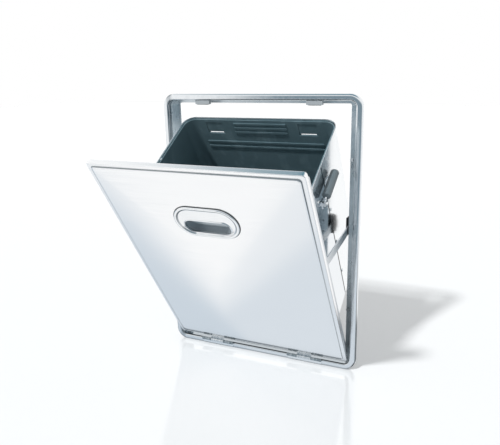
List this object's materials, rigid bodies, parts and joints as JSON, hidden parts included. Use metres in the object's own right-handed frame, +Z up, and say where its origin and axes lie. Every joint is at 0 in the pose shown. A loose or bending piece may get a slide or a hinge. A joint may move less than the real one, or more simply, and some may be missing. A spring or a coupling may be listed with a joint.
{
  "type": "tilt-out waste bin unit",
  "caption": "Built-in stainless waste bin with a trim frame, a tilt-out door with a flush pull, a lift-out bin with bail handles and a plastic liner.",
  "frame": {"origin": "bottom middle of the trim's back face, on the wall", "axes": "+X to the right seen from the front, +Y into the wall, +Z up; the front faces -Y"},
  "size_m": [0.508, 0.5875, 0.673],
  "materials": {
    "satin_steel": "satin stainless sheet",
    "mill_steel": "mill stainless sheet",
    "polished_steel": "polished stainless",
    "cup_steel": "dull pressed stainless",
    "liner_plastic": "gloss moulded plastic",
    "black_plastic": "matt moulded nylon",
    "grip_plastic": "matt moulded grip",
    "grey_plastic": "matt moulded plastic",
    "magnet": "bonded ferrite",
    "rubber": "soft pale rubber"
  },
  "bodies": {
    "frame": {"face_trim": "satin_steel", "jamb_sleeve": "satin_steel", "stop_lip": "satin_steel", "hinge_frame_leaf_left": "polished_steel", "hinge_frame_leaf_right": "polished_steel", "hinge_pin_left": "polished_steel", "hinge_pin_right": "polished_steel", "stay_guide_left": "black_plastic", "stay_guide_right": "black_plastic", "guide_screws": "polished_steel", "catch_housing_left": "grey_plastic", "catch_housing_right": "grey_plastic", "catch_magnet_left": "magnet", "catch_magnet_right": "magnet", "lip_bumpers": "rubber"},
    "door": {"door_skin": "satin_steel", "door_inner_pan": "mill_steel", "pull_bezel": "polished_steel", "pull_cup": "cup_steel", "hinge_door_leaf_left": "polished_steel", "hinge_door_leaf_right": "polished_steel", "catch_strike_left": "mill_steel", "catch_strike_right": "mill_steel", "stay_bracket_left": "mill_steel", "stay_bracket_right": "mill_steel", "stay_pivot_pin_left": "polished_steel", "stay_pivot_pin_right": "polished_steel", "bin_tray": "mill_steel", "tray_gusset_left": "mill_steel", "tray_gusset_right": "mill_steel", "tray_rivets": "polished_steel"},
    "left_stay": {"stay_arm_left": "mill_steel", "stay_stop_left": "black_plastic"},
    "right_stay": {"stay_arm_right": "mill_steel", "stay_stop_right": "black_plastic"},
    "bin": {"bin_front_shell": "polished_steel", "bin_back_shell": "polished_steel", "bin_base": "mill_steel", "bin_rim": "polished_steel", "seam_strip_left": "black_plastic", "seam_strip_right": "black_plastic", "seam_rivets": "polished_steel", "bail_lugs_left": "polished_steel", "bail_lugs_right": "polished_steel"},
    "inner_liner": {"liner": "liner_plastic"},
    "left_bail": {"bail_left": "polished_steel", "bail_grip_left": "grip_plastic"},
    "right_bail": {"bail_right": "polished_steel", "bail_grip_right": "grip_plastic"}
  },
  "joints": [
    {"name": "door_close", "type": "hinge", "parent": "frame", "child": "door", "pos_m": [0, -0.0185, 0.016], "axis": [-1, 0, 0], "range_deg": [0, 32]},
    {"name": "stay_turn_left", "type": "hinge", "parent": "door", "child": "left_stay", "pos_m": [-0.218, -0.16009, 0.32845], "axis": [-1, 0, 0], "range_deg": [-16, 0]},
    {"name": "stay_turn_right", "type": "hinge", "parent": "door", "child": "right_stay", "pos_m": [0.218, -0.16009, 0.32845], "axis": [-1, 0, 0], "range_deg": [-16, 0]},
    {"name": "bin_lift", "type": "slide", "parent": "door", "child": "bin", "axis": [0, -0.5299, 0.848], "range_m": [0, 0.46]},
    {"name": "liner_lift", "type": "slide", "parent": "bin", "child": "inner_liner", "axis": [0, -0.5299, 0.848], "range_m": [0, 0.45]},
    {"name": "bail_swing_left", "type": "hinge", "parent": "bin", "child": "left_bail", "pos_m": [-0.203, -0.08291, 0.46629], "axis": [0, -0.848, -0.5299], "range_deg": [0, 155]},
    {"name": "bail_swing_right", "type": "hinge", "parent": "bin", "child": "right_bail", "pos_m": [0.203, -0.08291, 0.46629], "axis": [0, 0.848, 0.5299], "range_deg": [0, 155]}
  ],
  "couplings": [
    {"joint": "stay_turn_left", "follows": "door_close", "ratio": -0.5},
    {"joint": "stay_turn_right", "follows": "door_close", "ratio": -0.5}
  ]
}
